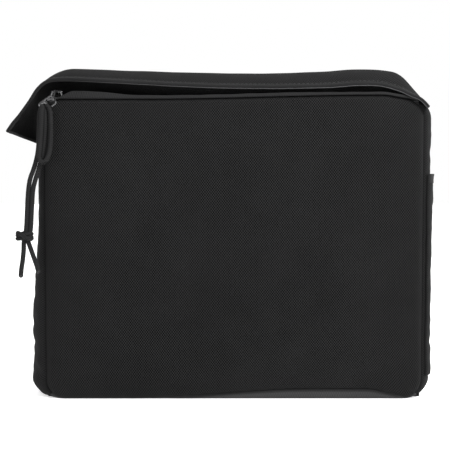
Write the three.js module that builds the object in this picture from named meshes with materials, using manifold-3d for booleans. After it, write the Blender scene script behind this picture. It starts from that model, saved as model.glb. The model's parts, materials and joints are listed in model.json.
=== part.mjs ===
// Film changing bag packed as its zipped carrying pouch: a padded, lined box pouch of ballistic nylon with a
// recessed coil zip along the top, a bound storm flap over the zip, a flat side pocket and a knotted cord pull.
//
// Millimetres, +Z up. The pouch stands on its bottom gusset: the origin is the middle of that flat base, +X runs
// along the zip towards the pocket, and the front panel faces -Y.
import * as THREE from "three";
import { mergeVertices } from "three/addons/utils/BufferGeometryUtils.js";
import Module from "manifold-3d";

const wasm = await Module();
wasm.setup();

// ---------------------------------------------------------------- driving dimensions
const WIDTH = 360; // front panel, seam to seam
const HEIGHT = 284; // base to the front panel's top seam
const DEPTH = 76; // between the front and back seams
const CORNER = 18; // radius of the panels' corners
const GAP = 0.3; // left between pieces that are sewn or pressed together

const FABRIC = 1.2; // shell cloth
const LINING = 0.8;
const FOAM = 4;
const BOARD = 2;
const FRONT_CROWN = 5; // how far the front panel swells past its seams
const SIDE_BULGE = 10; // how far the side gussets swell past their seams

const FRONT = -DEPTH / 2; // y of the front seam
const BACK = DEPTH / 2;
const HALF = WIDTH / 2;

const ZIP_Y = -26; // middle of the closed zip
const ZIP_Z = HEIGHT - 3; // underside of the zip tape
const TAPE = 0.8;
const TAPE_WIDTH = 9;
const COIL_WIDTH = 4.2;
const COIL_HEIGHT = 2.5;
const COIL_SPLIT = 0.8; // between the two halves of the closed coil
const ZIP_HALF_LENGTH = 168.4;
const STOP_LENGTH = 2.7;

const SLIDER_X = -167; // middle of the slider with the zip closed
const SLIDER_LENGTH = 17;
const SLIDER_WIDTH = 14;

const WELT_TOP = HEIGHT + 4.6; // top of the folded facing in front of the zip
const WELT_DEPTH = 6;

const CORD = 4; // braided cord, diameter
const CORD_SIDES = 8;

const BINDING_RADIUS = 1.6;
const POCKET_TOP = 213;
const POCKET_GAPE = 3;

// ---------------------------------------------------------------- materials
function material(color, roughness, metalness = 0) {
  return new THREE.MeshStandardMaterial({ color, roughness, metalness });
}

const shellCloth = material(0x242424, 0.8);
const liningCloth = material(0x101010, 0.75);
const foam = material(0x2e2e30, 0.95);
const boardPlastic = material(0x3a3a3a, 0.6);
const bindingTape = material(0x1c1c1c, 0.85);
const zipTape = material(0x171717, 0.85);
const coilNylon = material(0x0d0d0d, 0.4);
const metal = material(0x8f8f93, 0.3, 1);
const cordNylon = material(0x1e1e1e, 0.8);

// ---------------------------------------------------------------- shape helpers
const bag = new THREE.Group();

function add(name, geometry, finish) {
  const mesh = new THREE.Mesh(geometry, finish);
  mesh.name = name;
  bag.add(mesh);
  return mesh;
}

function signedVolume(geometry) {
  const p = geometry.attributes.position;
  const index = geometry.index;
  const [a, b, c] = [new THREE.Vector3(), new THREE.Vector3(), new THREE.Vector3()];
  let sum = 0;
  for (let i = 0; i < index.count; i += 3) {
    a.fromBufferAttribute(p, index.getX(i));
    b.fromBufferAttribute(p, index.getX(i + 1));
    c.fromBufferAttribute(p, index.getX(i + 2));
    sum += a.dot(b.cross(c));
  }
  return sum / 6;
}

// Turns the faces of an indexed geometry outwards if they point in.
function facingOut(geometry) {
  if (signedVolume(geometry) < 0) {
    const index = geometry.index;
    for (let i = 0; i < index.count; i += 3) {
      const first = index.getX(i);
      index.setX(i, index.getX(i + 1));
      index.setX(i + 1, first);
    }
  }
  geometry.computeVertexNormals();
  return geometry;
}

// A slab of nu by nv cells. place(u, v, h) gives each corner's point: u and v run from 0 to 1 over the slab, and h
// is 0 on one face and 1 on the other.
function slab(nu, nv, place) {
  const geometry = new THREE.BoxGeometry(1, 1, 1, nu, nv, 1);
  const p = geometry.attributes.position;
  for (let i = 0; i < p.count; i++) {
    const [x, y, z] = place(p.getX(i) + 0.5, p.getY(i) + 0.5, p.getZ(i) + 0.5);
    p.setXYZ(i, x, y, z);
  }
  return facingOut(geometry);
}

// A box between two values on each axis.
function block([x0, x1], [y0, y1], [z0, z1]) {
  const geometry = new THREE.BoxGeometry(x1 - x0, y1 - y0, z1 - z0);
  return geometry.translate((x0 + x1) / 2, (y0 + y1) / 2, (z0 + z1) / 2);
}

// A closed outline in Y and Z, drawn out along X from x0 to x1. Holes are outlines too.
function alongX(shape, x0, x1, curveSegments = 8) {
  const geometry = new THREE.ExtrudeGeometry(shape, { depth: x1 - x0, bevelEnabled: false, curveSegments });
  const turn = new THREE.Matrix4().makeBasis(
    new THREE.Vector3(0, 1, 0),
    new THREE.Vector3(0, 0, 1),
    new THREE.Vector3(1, 0, 0),
  );
  return geometry.applyMatrix4(turn).translate(x0, 0, 0);
}

// A closed outline in X and Z, drawn out along Y from y0 to y1.
function alongY(shape, y0, y1, curveSegments = 8) {
  const geometry = new THREE.ExtrudeGeometry(shape, { depth: y1 - y0, bevelEnabled: false, curveSegments });
  return geometry.rotateX(Math.PI / 2).translate(0, y1, 0);
}

function outline(points) {
  return new THREE.Shape(points.map(([x, y]) => new THREE.Vector2(x, y)));
}

function circlePath(x, y, radius) {
  return new THREE.Path().absarc(x, y, radius, 0, 2 * Math.PI, true);
}

// A rounded rectangle centred on x = 0, from z0 to z1.
function roundedRectangle(half, z0, z1, radius, Kind = THREE.Shape) {
  const r = radius;
  return new Kind()
    .moveTo(-half + r, z0)
    .lineTo(half - r, z0)
    .absarc(half - r, z0 + r, r, -Math.PI / 2, 0, false)
    .lineTo(half, z1 - r)
    .absarc(half - r, z1 - r, r, 0, Math.PI / 2, false)
    .lineTo(-half + r, z1)
    .absarc(-half + r, z1 - r, r, Math.PI / 2, Math.PI, false)
    .lineTo(-half, z0 + r)
    .absarc(-half + r, z0 + r, r, Math.PI, 1.5 * Math.PI, false);
}

// A round tube along a curve.
function tube(curve, radius, steps, sides = CORD_SIDES) {
  const corners = Array.from({ length: sides }, (_, i) => {
    const angle = (2 * Math.PI * i) / sides;
    return new THREE.Vector2(radius * Math.cos(angle), radius * Math.sin(angle));
  });
  return new THREE.ExtrudeGeometry(new THREE.Shape(corners), { steps, extrudePath: curve, bevelEnabled: false });
}

function spline(points) {
  return new THREE.CatmullRomCurve3(points.map((p) => new THREE.Vector3(...p)), false, "centripetal");
}

// The manifold-3d solid of a closed geometry, and back.
function solid(geometry) {
  const bare = geometry.clone();
  bare.deleteAttribute("normal");
  bare.deleteAttribute("uv");
  const merged = mergeVertices(bare);
  const triVerts = new Uint32Array(merged.index.array);
  return new wasm.Manifold(new wasm.Mesh({ numProp: 3, vertProperties: merged.attributes.position.array, triVerts }));
}

function geometryOf(manifold) {
  const mesh = manifold.getMesh();
  const geometry = new THREE.BufferGeometry();
  geometry.setAttribute("position", new THREE.BufferAttribute(new Float32Array(mesh.vertProperties), 3));
  geometry.setIndex(new THREE.BufferAttribute(new Uint32Array(mesh.triVerts), 1));
  geometry.computeVertexNormals();
  return geometry;
}

// ---------------------------------------------------------------- pouch shell
// Even steps from 0 to 1, bunched towards both ends so that round corners get more of them.
function bunched(t) {
  return (1 - Math.cos(Math.PI * t)) / 2;
}

// The point of a round-cornered panel for u and v from 0 to 1: the corner squares are drawn in to quarter discs.
function panelPoint(u, v, half, z0, z1, radius) {
  const middle = (z0 + z1) / 2;
  const tall = (z1 - z0) / 2;
  const x = (2 * bunched(u) - 1) * half;
  const z = (2 * bunched(v) - 1) * tall;
  const dx = Math.abs(x) - (half - radius);
  const dz = Math.abs(z) - (tall - radius);
  if (dx <= 0 || dz <= 0) return [x, middle + z];
  const shrink = Math.max(dx, dz) / Math.hypot(dx, dz);
  return [Math.sign(x) * (half - radius + dx * shrink), middle + Math.sign(z) * (tall - radius + dz * shrink)];
}

// 1 in the middle of a span and 0 at its ends, flat-topped.
function swell(t) {
  return 1 - Math.abs(2 * t - 1) ** 3;
}

function panel(seamY, outward, crown) {
  return slab(16, 12, (u, v, h) => {
    const [x, z] = panelPoint(u, v, HALF, GAP, HEIGHT, CORNER);
    const out = crown * swell(bunched(u)) * swell(bunched(v)) + h * FABRIC;
    return [x, seamY + outward * out, z];
  });
}

add("front_panel", panel(FRONT, -1, FRONT_CROWN), shellCloth);
add("back_panel", alongY(roundedRectangle(HALF, GAP, HEIGHT, CORNER), BACK, BACK + FABRIC), shellCloth);

// The line that the gussets follow in X and Z, by distance along it: up the side from the middle of a bottom
// corner to the middle of a top corner. The left side mirrors the right one.
const HALF_ARC = (Math.PI / 4) * CORNER;
const SIDE_STRAIGHT = HEIGHT - 2 * CORNER;

function sideLine(t) {
  const s = t * (SIDE_STRAIGHT + 2 * HALF_ARC);
  if (s < HALF_ARC) {
    const angle = -Math.PI / 4 + s / CORNER;
    return { x: HALF - CORNER + CORNER * Math.cos(angle), z: CORNER + CORNER * Math.sin(angle), angle };
  }
  if (s <= HALF_ARC + SIDE_STRAIGHT) return { x: HALF, z: CORNER + s - HALF_ARC, angle: 0 };
  const angle = (s - HALF_ARC - SIDE_STRAIGHT) / CORNER;
  return { x: HALF - CORNER + CORNER * Math.cos(angle), z: HEIGHT - CORNER + CORNER * Math.sin(angle), angle };
}

function sideGusset(side) {
  return slab(20, 4, (u, v, h) => {
    const line = sideLine(u);
    const out = SIDE_BULGE * swell(u) * (1 - (2 * v - 1) ** 2) - (1 - h) * FABRIC;
    const y = FRONT + GAP + v * (DEPTH - 2 * GAP);
    return [side * (line.x + out * Math.cos(line.angle)), y, line.z + out * Math.sin(line.angle)];
  });
}

add("left_gusset", sideGusset(-1), shellCloth);
add("right_gusset", sideGusset(1), shellCloth);

// Flat on the ground between the corners, with half of each bottom corner turned up at its ends.
const CORNER_STEPS = 4;
const BOTTOM_STEPS = 2 * CORNER_STEPS + 2;
const CORNER_END = Math.PI / 4 - (2 * GAP) / CORNER;

function bottomLine(u) {
  const step = u * BOTTOM_STEPS;
  const fromEnd = Math.min(step, BOTTOM_STEPS - step);
  const side = step * 2 < BOTTOM_STEPS ? -1 : 1;
  if (fromEnd > CORNER_STEPS) return { x: 0, z: 0, angle: 0, side };
  const angle = CORNER_END * (1 - fromEnd / CORNER_STEPS);
  return { x: HALF - CORNER + CORNER * Math.sin(angle), z: CORNER * (1 - Math.cos(angle)), angle, side };
}

add(
  "bottom_gusset",
  slab(BOTTOM_STEPS, 1, (u, v, h) => {
    const line = bottomLine(u);
    const inward = h * FABRIC;
    const x = line.side * (line.x - inward * Math.sin(line.angle));
    return [x, FRONT + GAP + v * (DEPTH - 2 * GAP), line.z + inward * Math.cos(line.angle)];
  }),
  shellCloth,
);

// ---------------------------------------------------------------- padding, board and lining
const INSIDE_HALF = HALF - FABRIC - 2; // clear of the side gussets
const LINED_TOP = ZIP_Z - 6;
const PAD_BOTTOM = FABRIC + 2 * GAP;
const INNER_RADIUS = CORNER - 3;

function innerSheet(half, z0, y0, y1) {
  return alongY(roundedRectangle(half, z0, LINED_TOP, INNER_RADIUS), y0, y1, 3);
}

const frontPadY = FRONT + GAP;
const backPadY = BACK - GAP - FOAM;
const frontLiningY = frontPadY + FOAM + GAP;
const backLiningY = backPadY - GAP - LINING;
add("front_pad", innerSheet(INSIDE_HALF, PAD_BOTTOM, frontPadY, frontPadY + FOAM), foam);
add("back_pad", innerSheet(INSIDE_HALF, PAD_BOTTOM, backPadY, backPadY + FOAM), foam);
add("front_lining", innerSheet(INSIDE_HALF, PAD_BOTTOM, frontLiningY, frontLiningY + LINING), liningCloth);
add("back_lining", innerSheet(INSIDE_HALF, PAD_BOTTOM, backLiningY, backLiningY + LINING), liningCloth);

const roomFront = frontLiningY + LINING + GAP;
const roomBack = backLiningY - GAP;
const boardHalf = HALF - CORNER;
add("base_board", block([-boardHalf, boardHalf], [roomFront, roomBack], [PAD_BOTTOM, PAD_BOTTOM + BOARD]), boardPlastic);
const floorZ = PAD_BOTTOM + BOARD + GAP;
add("bottom_lining", block([-boardHalf, boardHalf], [roomFront, roomBack], [floorZ, floorZ + LINING]), liningCloth);
for (const [name, side] of [["left_lining", -1], ["right_lining", 1]]) {
  const inner = side * (INSIDE_HALF - LINING);
  const outer = side * INSIDE_HALF;
  const xs = side < 0 ? [outer, inner] : [inner, outer];
  add(name, block(xs, [roomFront, roomBack], [CORNER, HEIGHT - CORNER]), liningCloth);
}

// The raw edges inside the front and back seams are closed in folded tape, which runs down one side, along the
// bottom and up the other.
const SEAM_TAPE = 2.4;
const SEAM_TAPE_INSET = 4;

function seamTape(y0) {
  const half = INSIDE_HALF - SEAM_TAPE_INSET;
  const base = floorZ + LINING + GAP;
  const ring = roundedRectangle(half, base, LINED_TOP, INNER_RADIUS);
  ring.holes.push(
    roundedRectangle(half - SEAM_TAPE, base + SEAM_TAPE, LINED_TOP - SEAM_TAPE, INNER_RADIUS - SEAM_TAPE, THREE.Path),
  );
  const mouth = block([-half + CORNER, half - CORNER], [y0 - 1, y0 + SEAM_TAPE + 1], [LINED_TOP - CORNER, HEIGHT]);
  return geometryOf(solid(alongY(ring, y0, y0 + SEAM_TAPE, 3)).subtract(solid(mouth)));
}

add("front_seam_tape", seamTape(roomFront), bindingTape);
add("back_seam_tape", seamTape(roomBack - SEAM_TAPE), bindingTape);

// ---------------------------------------------------------------- zip
// The facing is folded over in front of the zip, and its inner leg reaches down to the zip tape.
const weltFront = FRONT - FABRIC;
const weltBack = weltFront + WELT_DEPTH;
const weltLeg = ZIP_Z + TAPE + GAP;
const weltBase = HEIGHT + GAP;
const weltShape = outline([
  [weltFront, weltBase],
  [weltFront + FABRIC, weltBase],
  [weltFront + FABRIC, WELT_TOP - 2 * FABRIC],
  [weltFront + 2 * FABRIC, WELT_TOP - FABRIC],
  [weltBack - 2 * FABRIC, WELT_TOP - FABRIC],
  [weltBack - FABRIC, WELT_TOP - 2 * FABRIC],
  [weltBack - FABRIC, weltLeg],
  [weltBack, weltLeg],
  [weltBack, WELT_TOP - FABRIC],
  [weltBack - FABRIC, WELT_TOP],
  [weltFront + FABRIC, WELT_TOP],
  [weltFront, WELT_TOP - FABRIC],
]);
const WELT_HALF = HALF - CORNER - 6;
add("zip_facing", alongX(weltShape, -WELT_HALF, WELT_HALF), shellCloth);

const coilBase = ZIP_Z + TAPE + GAP;
const tapeEnd = ZIP_HALF_LENGTH + STOP_LENGTH + 2;

// One half of the zip. side is -1 for the front half, sewn to the facing, and 1 for the rear half, sewn to the lid.
function zipHalf(side, label) {
  const meeting = ZIP_Y + (side * COIL_SPLIT) / 2;
  const sorted = (a, b) => [Math.min(a, b), Math.max(a, b)];
  const across = sorted(meeting, meeting + side * COIL_WIDTH);
  const tapeY = sorted(meeting + side * GAP, meeting + side * TAPE_WIDTH);
  const stopY = sorted(meeting + side * GAP, meeting + side * (COIL_WIDTH - GAP));
  const height = [coilBase, coilBase + COIL_HEIGHT];
  const stopIn = ZIP_HALF_LENGTH + GAP;
  add(`zip_tape_${label}`, block([-tapeEnd, tapeEnd], tapeY, [ZIP_Z, ZIP_Z + TAPE]), zipTape);
  add(`zip_coil_${label}`, block([-ZIP_HALF_LENGTH, ZIP_HALF_LENGTH], across, height), coilNylon);
  add(`zip_stop_${label}_left`, block([-stopIn - STOP_LENGTH, -stopIn], stopY, height), metal);
  add(`zip_stop_${label}_right`, block([stopIn, stopIn + STOP_LENGTH], stopY, height), metal);
}

zipHalf(-1, "front");
zipHalf(1, "rear");

const TAB_LENGTH = 12;
const TAB_THICK = 1.8;
for (const [name, side] of [["zip_end_tab_left", -1], ["zip_end_tab_right", 1]]) {
  const xs = [side * tapeEnd, side * (tapeEnd - TAB_LENGTH)].sort((a, b) => a - b);
  add(name, block(xs, [FRONT + 2, ZIP_Y + TAPE_WIDTH], [ZIP_Z - GAP - TAB_THICK, ZIP_Z - GAP]), bindingTape);
}

// ---------------------------------------------------------------- lid: the top panel behind the zip
const LID_HALF = tapeEnd - 11;
const lidFrontY = ZIP_Y + 6;
const lidFrontZ = coilBase;
const LID_BACK_Z = HEIGHT + 2;

add(
  "lid_panel",
  slab(8, 6, (u, v, h) => {
    const y = lidFrontY + v * (BACK - 1.5 - lidFrontY);
    const z = lidFrontZ + (LID_BACK_Z - lidFrontZ) * Math.sin((v * Math.PI) / 2);
    return [(2 * u - 1) * LID_HALF, y, z + h * FABRIC];
  }),
  shellCloth,
);
const lidLiningZ = ZIP_Z - GAP - LINING;
add(
  "lid_lining",
  block([-LID_HALF + 4, LID_HALF - 4], [ZIP_Y + TAPE_WIDTH + GAP, BACK - 2], [lidLiningZ, lidLiningZ + LINING]),
  liningCloth,
);

// ---------------------------------------------------------------- storm flap
// The flap is sewn along the back of the lid and arches forward over the zip. Its ends run on past the pouch: the
// right end drops close to the side, and the left end stands off and hangs open beside the zip's closed end.
const seamLine = spline([
  [-193, 31, 243],
  [-193, 33, 258],
  [-191, 35, 272],
  [-185, 36.2, 283],
  [-174, 37, 289],
  [-158, 37, 290],
  [-80, 37, 289.2],
  [0, 37, 289],
  [80, 37, 289.2],
  [150, 37, 289.4],
  [172, 36, 287.5],
  [180, 34, 282.5],
  [183.5, 33, 275],
]);
const hemLine = spline([
  [-213.5, -31, 254],
  [-209.5, -34, 262],
  [-202.5, -36.5, 270],
  [-193.5, -38, 282],
  [-184, -38, 294],
  [-172, -38, 300],
  [-150, -38, 301],
  [-100, -38, 298.6],
  [-40, -38, 295.4],
  [30, -38, 294],
  [85, -38, 294.8],
  [115, -38, 296.8],
  [137, -38, 296.2],
  [154, -38.6, 291.6],
  [164, -40.6, 287],
  [173.8, -42, 282.6],
  [181.2, -41.5, 275.6],
]);
const FLAP_STEPS = 40;
const FLAP_RISE = 17; // how far the flap's middle arches above the straight line from seam to hem

function flapPoint(u, v, lift) {
  const along = 0.45 * u + 0.55 * bunched(u);
  const seam = seamLine.getPointAt(along);
  const hem = hemLine.getPointAt(along);
  const point = seam.clone().lerp(hem, v);
  const away = new THREE.Vector3(point.x - THREE.MathUtils.clamp(point.x, -150, 150), 0, point.z - 240).normalize();
  const { smoothstep } = THREE.MathUtils;
  const middle = smoothstep(along, 0.12, 0.22) * (1 - smoothstep(along, 0.91, 0.99));
  const rise = 0.8 + 2.4 * smoothstep(along, 0.6, 0.9) + FLAP_RISE * middle;
  return point.addScaledVector(away, rise * Math.sin(Math.PI * v) + lift);
}

const HEM_INSET = (BINDING_RADIUS + 4 * GAP) / DEPTH; // the cloth stops short of the binding round its edge

function flapLayer(inner, outer) {
  return slab(FLAP_STEPS, 8, (u, v, h) => {
    const point = flapPoint(u, v * (1 - HEM_INSET), inner + h * (outer - inner));
    return [point.x, point.y, point.z];
  });
}

add("flap_shell", flapLayer(0, FABRIC), shellCloth);
add("flap_lining", flapLayer(-4 * GAP - LINING, -4 * GAP), liningCloth);
add("flap_binding", tube(hemLine, BINDING_RADIUS, 44), bindingTape);

// ---------------------------------------------------------------- side pocket
const POCKET_BOTTOM = CORNER + 4;
const POCKET_HALF_DEPTH = DEPTH / 2 - 2;
const POCKET_GAP = 0.7; // between the pocket and the side it is sewn to

function pocketSheet(z0, z1, extra, thick, nz) {
  return slab(nz, 4, (u, v, h) => {
    const z = z0 + u * (z1 - z0);
    const along = 2 * v - 1;
    const y = along * POCKET_HALF_DEPTH;
    const bow = 1 - (y / (DEPTH / 2)) ** 2;
    const stand = POCKET_GAPE * THREE.MathUtils.smoothstep(z, POCKET_BOTTOM, POCKET_TOP) * bow;
    const x = HALF + POCKET_GAP + SIDE_BULGE * bow + stand + extra + h * thick;
    return [x, y, z];
  });
}

const POCKET_HEM = 7;
add("side_pocket", pocketSheet(POCKET_BOTTOM, POCKET_TOP, 0, FABRIC, 10), shellCloth);
add("side_pocket_hem", pocketSheet(POCKET_TOP - POCKET_HEM, POCKET_TOP, FABRIC + GAP, LINING, 2), bindingTape);

// ---------------------------------------------------------------- slider
// The slider rides over the front coil. Its rear cheek is left open, so that the lid's half of the zip lifts out.
const plateZ = coilBase + COIL_HEIGHT + GAP;
const PLATE = 1.6;
const cheekY = ZIP_Y - SLIDER_WIDTH / 2;
const plateBackY = ZIP_Y - COIL_SPLIT / 2;
const sliderEnds = [SLIDER_X - SLIDER_LENGTH / 2, SLIDER_X + SLIDER_LENGTH / 2];
const cheekShape = outline([
  [cheekY, coilBase],
  [cheekY + 1.6, coilBase],
  [cheekY + 1.6, plateZ],
  [plateBackY, plateZ],
  [plateBackY, plateZ + PLATE],
  [cheekY + 1, plateZ + PLATE],
  [cheekY, plateZ + PLATE - 1],
]);
add("slider_body", alongX(cheekShape, ...sliderEnds), metal);

// The bail is a staple on top of the slider, along the zip.
const BAIL_Y = ZIP_Y - 3.5;
const BAIL_Z = plateZ + PLATE + 4.6;
const BAIL_WIRE = 1;
const bailBase = plateZ + PLATE + GAP;
const bailOutline = outline([
  [SLIDER_X - 6, bailBase],
  [SLIDER_X - 4, bailBase],
  [SLIDER_X - 3.4, BAIL_Z - BAIL_WIRE],
  [SLIDER_X + 3.4, BAIL_Z - BAIL_WIRE],
  [SLIDER_X + 4, bailBase],
  [SLIDER_X + 6, bailBase],
  [SLIDER_X + 5, BAIL_Z + BAIL_WIRE],
  [SLIDER_X - 5, BAIL_Z + BAIL_WIRE],
]);
add("slider_bail", alongY(bailOutline, BAIL_Y - BAIL_WIRE, BAIL_Y + BAIL_WIRE), metal);

// The link hooks round the bail, passes over the facing and carries the pull in front of the pouch.
const LINK_HALF = 0.8;
const LINK_THICK = 1.2;
const REAR_EYE = 2.7;
const FRONT_EYE = 3.2;
const PULL_Y = -44;
const PULL_Z = HEIGHT - 1;
const linkLow = WELT_TOP + 1.7;

const strap = outline([
  [BAIL_Y, linkLow],
  [BAIL_Y, linkLow + LINK_THICK],
  [weltFront - 1, linkLow + LINK_THICK],
  [PULL_Y + 0.4, PULL_Z + FRONT_EYE - 0.2],
  [PULL_Y + 1.4, PULL_Z + FRONT_EYE - 0.9],
  [weltFront, linkLow],
]);

function disc(y, z, radius) {
  const round = new THREE.Shape().absarc(y, z, radius, 0, 2 * Math.PI, false);
  return solid(alongX(round, SLIDER_X - LINK_HALF, SLIDER_X + LINK_HALF, 10));
}

const link = solid(alongX(strap, SLIDER_X - LINK_HALF, SLIDER_X + LINK_HALF))
  .add(disc(BAIL_Y, BAIL_Z, REAR_EYE))
  .add(disc(PULL_Y, PULL_Z, FRONT_EYE))
  .subtract(disc(BAIL_Y, BAIL_Z, 1.6))
  .subtract(disc(PULL_Y, PULL_Z, 2.4));
add("slider_link", geometryOf(link), metal);

// ---------------------------------------------------------------- pull: a stamped tab with a knotted cord
const TAB_HALF = 5;
const TAB_REACH = 15.2;
const TAB_EYE = 11.2; // from the link's eye to the hole that takes the cord
const TAB_SHEET = 1.4;
const TAB_LEAN = THREE.MathUtils.degToRad(-55); // the tab leans over the end of the zip
const TAB_BAR = 1.4;

const tabShape = roundedRectangle(TAB_HALF, -TAB_REACH, TAB_BAR / 2, 2.2);
tabShape.holes.push(roundedRectangle(TAB_HALF - 1.4, -7, -TAB_BAR / 2, 0.9, THREE.Path));
tabShape.holes.push(circlePath(0, -TAB_EYE, 2.4));
const tab = alongY(tabShape, -TAB_SHEET / 2, TAB_SHEET / 2, 4);
tab.rotateY(-TAB_LEAN).translate(SLIDER_X, PULL_Y, PULL_Z);
add("pull_tab", tab, metal);

// Where the cord's strands come out of the tab's eye.
const eyeX = SLIDER_X + TAB_EYE * Math.sin(TAB_LEAN);
const eyeZ = PULL_Z - TAB_EYE * Math.cos(TAB_LEAN);
const CORD_Y = -48; // the strands hang this far forward, clear of the front panel
const CORD_TOP = eyeZ - 5;

// Two strands hang from the eye to the knot, and their ends run on below it.
const leftStrand = spline([
  [eyeX - 3.4, CORD_Y + 1, CORD_TOP],
  [-180.3, CORD_Y, 254],
  [-181, CORD_Y, 240],
  [-182.6, CORD_Y, 229],
  [-185.6, CORD_Y, 218.5],
  [-189, CORD_Y, 209.5],
  [-190.9, CORD_Y - 1, 200],
  [-191.6, CORD_Y - 1.5, 189],
  [-192.2, CORD_Y - 2.5, 176],
  [-192.8, CORD_Y - 3, 163.8],
]);
const rightStrand = spline([
  [eyeX + 1.2, CORD_Y + 1, CORD_TOP],
  [-175.2, CORD_Y, 254],
  [-176.3, CORD_Y, 241],
  [-178, CORD_Y, 229],
  [-180.9, CORD_Y, 218.5],
  [-184.2, CORD_Y, 208.5],
  [-186.3, CORD_Y - 1, 199.5],
  [-187.1, CORD_Y - 1.5, 189],
  [-187.7, CORD_Y - 2.5, 176],
  [-188.3, CORD_Y - 3, 163.8],
]);
// The bight comes down from the eye, turns round the front of both strands and goes back up.
const bight = spline([
  [eyeX - 1, CORD_Y - 3.6, CORD_TOP],
  [-177.4, CORD_Y - 4.4, 262],
  [-178.2, CORD_Y - 4.4, 250],
  [-179, CORD_Y - 4.4, 238],
  [-180.2, CORD_Y - 4.6, 230],
  [-178, CORD_Y - 4.8, 224.6],
  [-174.4, CORD_Y - 4.6, 224.8],
  [-171.2, CORD_Y - 3, 231],
  [-169.8, CORD_Y - 1.4, 241],
  [-169.4, CORD_Y - 0.6, 254],
  [eyeX + 6.2, CORD_Y, CORD_TOP],
]);
add("cord_strand_left", tube(leftStrand, CORD / 2, 24), cordNylon);
add("cord_strand_right", tube(rightStrand, CORD / 2, 24), cordNylon);
add("cord_bight", tube(bight, CORD / 2, 28), cordNylon);

const KNOT = { x: -194, y: CORD_Y - 4, z: 156.2, halfWidth: 8.8, halfDepth: 5.5, halfHeight: 6 };
const knotBall = new THREE.SphereGeometry(1, 14, 8);
knotBall.scale(KNOT.halfWidth, KNOT.halfDepth, KNOT.halfHeight).translate(KNOT.x, KNOT.y, KNOT.z);
add("pull_knot", knotBall, cordNylon);

const leftTail = spline([
  [-194.8, CORD_Y - 4, 149.5],
  [-195, CORD_Y - 4, 143],
  [-196, CORD_Y - 4, 133.5],
  [-197.2, CORD_Y - 4, 126],
  [-197.8, CORD_Y - 4, 119.5],
]);
const rightTail = spline([
  [-190, CORD_Y - 4, 149],
  [-187.9, CORD_Y - 4, 142.8],
  [-185.2, CORD_Y - 4, 135],
  [-183, CORD_Y - 4, 128.6],
  [-181.7, CORD_Y - 4, 123.3],
]);
add("cord_tail_left", tube(leftTail, CORD / 2, 6), cordNylon);
add("cord_tail_right", tube(rightTail, CORD / 2, 6), cordNylon);

export default bag;
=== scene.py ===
import bmesh
import bpy
import json
import math
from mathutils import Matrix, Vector, noise


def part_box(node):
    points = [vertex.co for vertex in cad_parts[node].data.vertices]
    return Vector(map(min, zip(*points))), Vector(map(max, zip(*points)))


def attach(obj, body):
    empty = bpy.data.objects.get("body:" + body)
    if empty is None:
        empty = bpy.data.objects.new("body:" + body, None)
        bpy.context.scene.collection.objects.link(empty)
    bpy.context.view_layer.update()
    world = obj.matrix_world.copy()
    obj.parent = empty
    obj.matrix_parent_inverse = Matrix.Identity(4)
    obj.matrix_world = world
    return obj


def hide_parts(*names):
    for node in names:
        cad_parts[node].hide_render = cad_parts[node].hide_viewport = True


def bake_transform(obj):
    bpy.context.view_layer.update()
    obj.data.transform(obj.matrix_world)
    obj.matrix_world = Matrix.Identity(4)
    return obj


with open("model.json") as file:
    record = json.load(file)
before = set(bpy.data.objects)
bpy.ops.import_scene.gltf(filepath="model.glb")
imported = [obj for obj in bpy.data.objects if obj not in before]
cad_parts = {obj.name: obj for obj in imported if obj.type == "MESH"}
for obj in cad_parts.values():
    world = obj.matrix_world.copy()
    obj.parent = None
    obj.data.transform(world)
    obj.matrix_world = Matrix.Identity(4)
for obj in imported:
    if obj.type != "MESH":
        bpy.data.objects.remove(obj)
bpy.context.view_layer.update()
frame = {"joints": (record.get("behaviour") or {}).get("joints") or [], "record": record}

MM = 0.001


def edges_mm(node):
    """A CAD node's lowest and highest corner, in millimetres."""
    low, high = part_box(node)
    return Vector(low) / MM, Vector(high) / MM


_, panel_high = edges_mm("front_panel")
HALF = panel_high.x
HEIGHT = panel_high.z
FRONT = panel_high.y
BACK = edges_mm("back_panel")[0].y
DEPTH = BACK - FRONT
CORNER = 18  # radius of a panel's corners
CROWN = 5.2  # how far the padding fills out the middle of the front panel
CLOTH = 1.2  # thickness of the shell cloth

# ---------------------------------------------------------------- camera
# It comes first, because the cords are measured against its view.
PIXEL = 0.938  # millimetres of the front panel in one pixel of the picture
FRAME_PIXELS = 450
SENSOR = 36
DISTANCE = 900
AIM = Vector((-8.4, FRONT - 2, 165.8))
ELEVATION = math.radians(3)

camera_data = bpy.data.cameras.new("camera")
camera_data.sensor_width = SENSOR
camera_data.lens = SENSOR * DISTANCE / (FRAME_PIXELS * PIXEL)
camera_data.clip_start = 0.05
camera_data.clip_end = 20
camera = bpy.data.objects.new("camera", camera_data)
bpy.context.scene.collection.objects.link(camera)
back = Vector((0, -math.cos(ELEVATION), math.sin(ELEVATION)))
camera.location = (AIM + back * DISTANCE) * MM
camera.rotation_mode = "QUATERNION"
camera.rotation_quaternion = (-back).to_track_quat("-Z", "Y")
bpy.context.scene.camera = camera


# ---------------------------------------------------------------- small sums
def smooth(t, low=0.0, high=1.0):
    """0 below low, 1 above high, and a soft step between them."""
    t = min(1.0, max(0.0, (t - low) / (high - low)))
    return t * t * (3 - 2 * t)


def wave(x, y, z, size, seed=0.0):
    """Soft noise from about -1 to 1, with bumps of that size in millimetres."""
    return noise.noise(Vector((x / size + seed, y / size - seed, z / size + 2 * seed)))


def mix(a, b, t):
    """a at t = 0 and b at t = 1."""
    return a + (b - a) * t


def path_point(points, t):
    """A point of a smooth line through points, t from 0 to 1 over the points."""
    last = len(points) - 1
    k = min(last - 1, int(t * last))
    f = t * last - k
    p = [Vector(points[min(last, max(0, k + i))]) for i in (-1, 0, 1, 2)]
    a = 2 * p[1]
    b = (p[2] - p[0]) * f
    c = (2 * p[0] - 5 * p[1] + 4 * p[2] - p[3]) * f * f
    d = (3 * p[1] - p[0] - 3 * p[2] + p[3]) * f * f * f
    return (a + b + c + d) / 2


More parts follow.
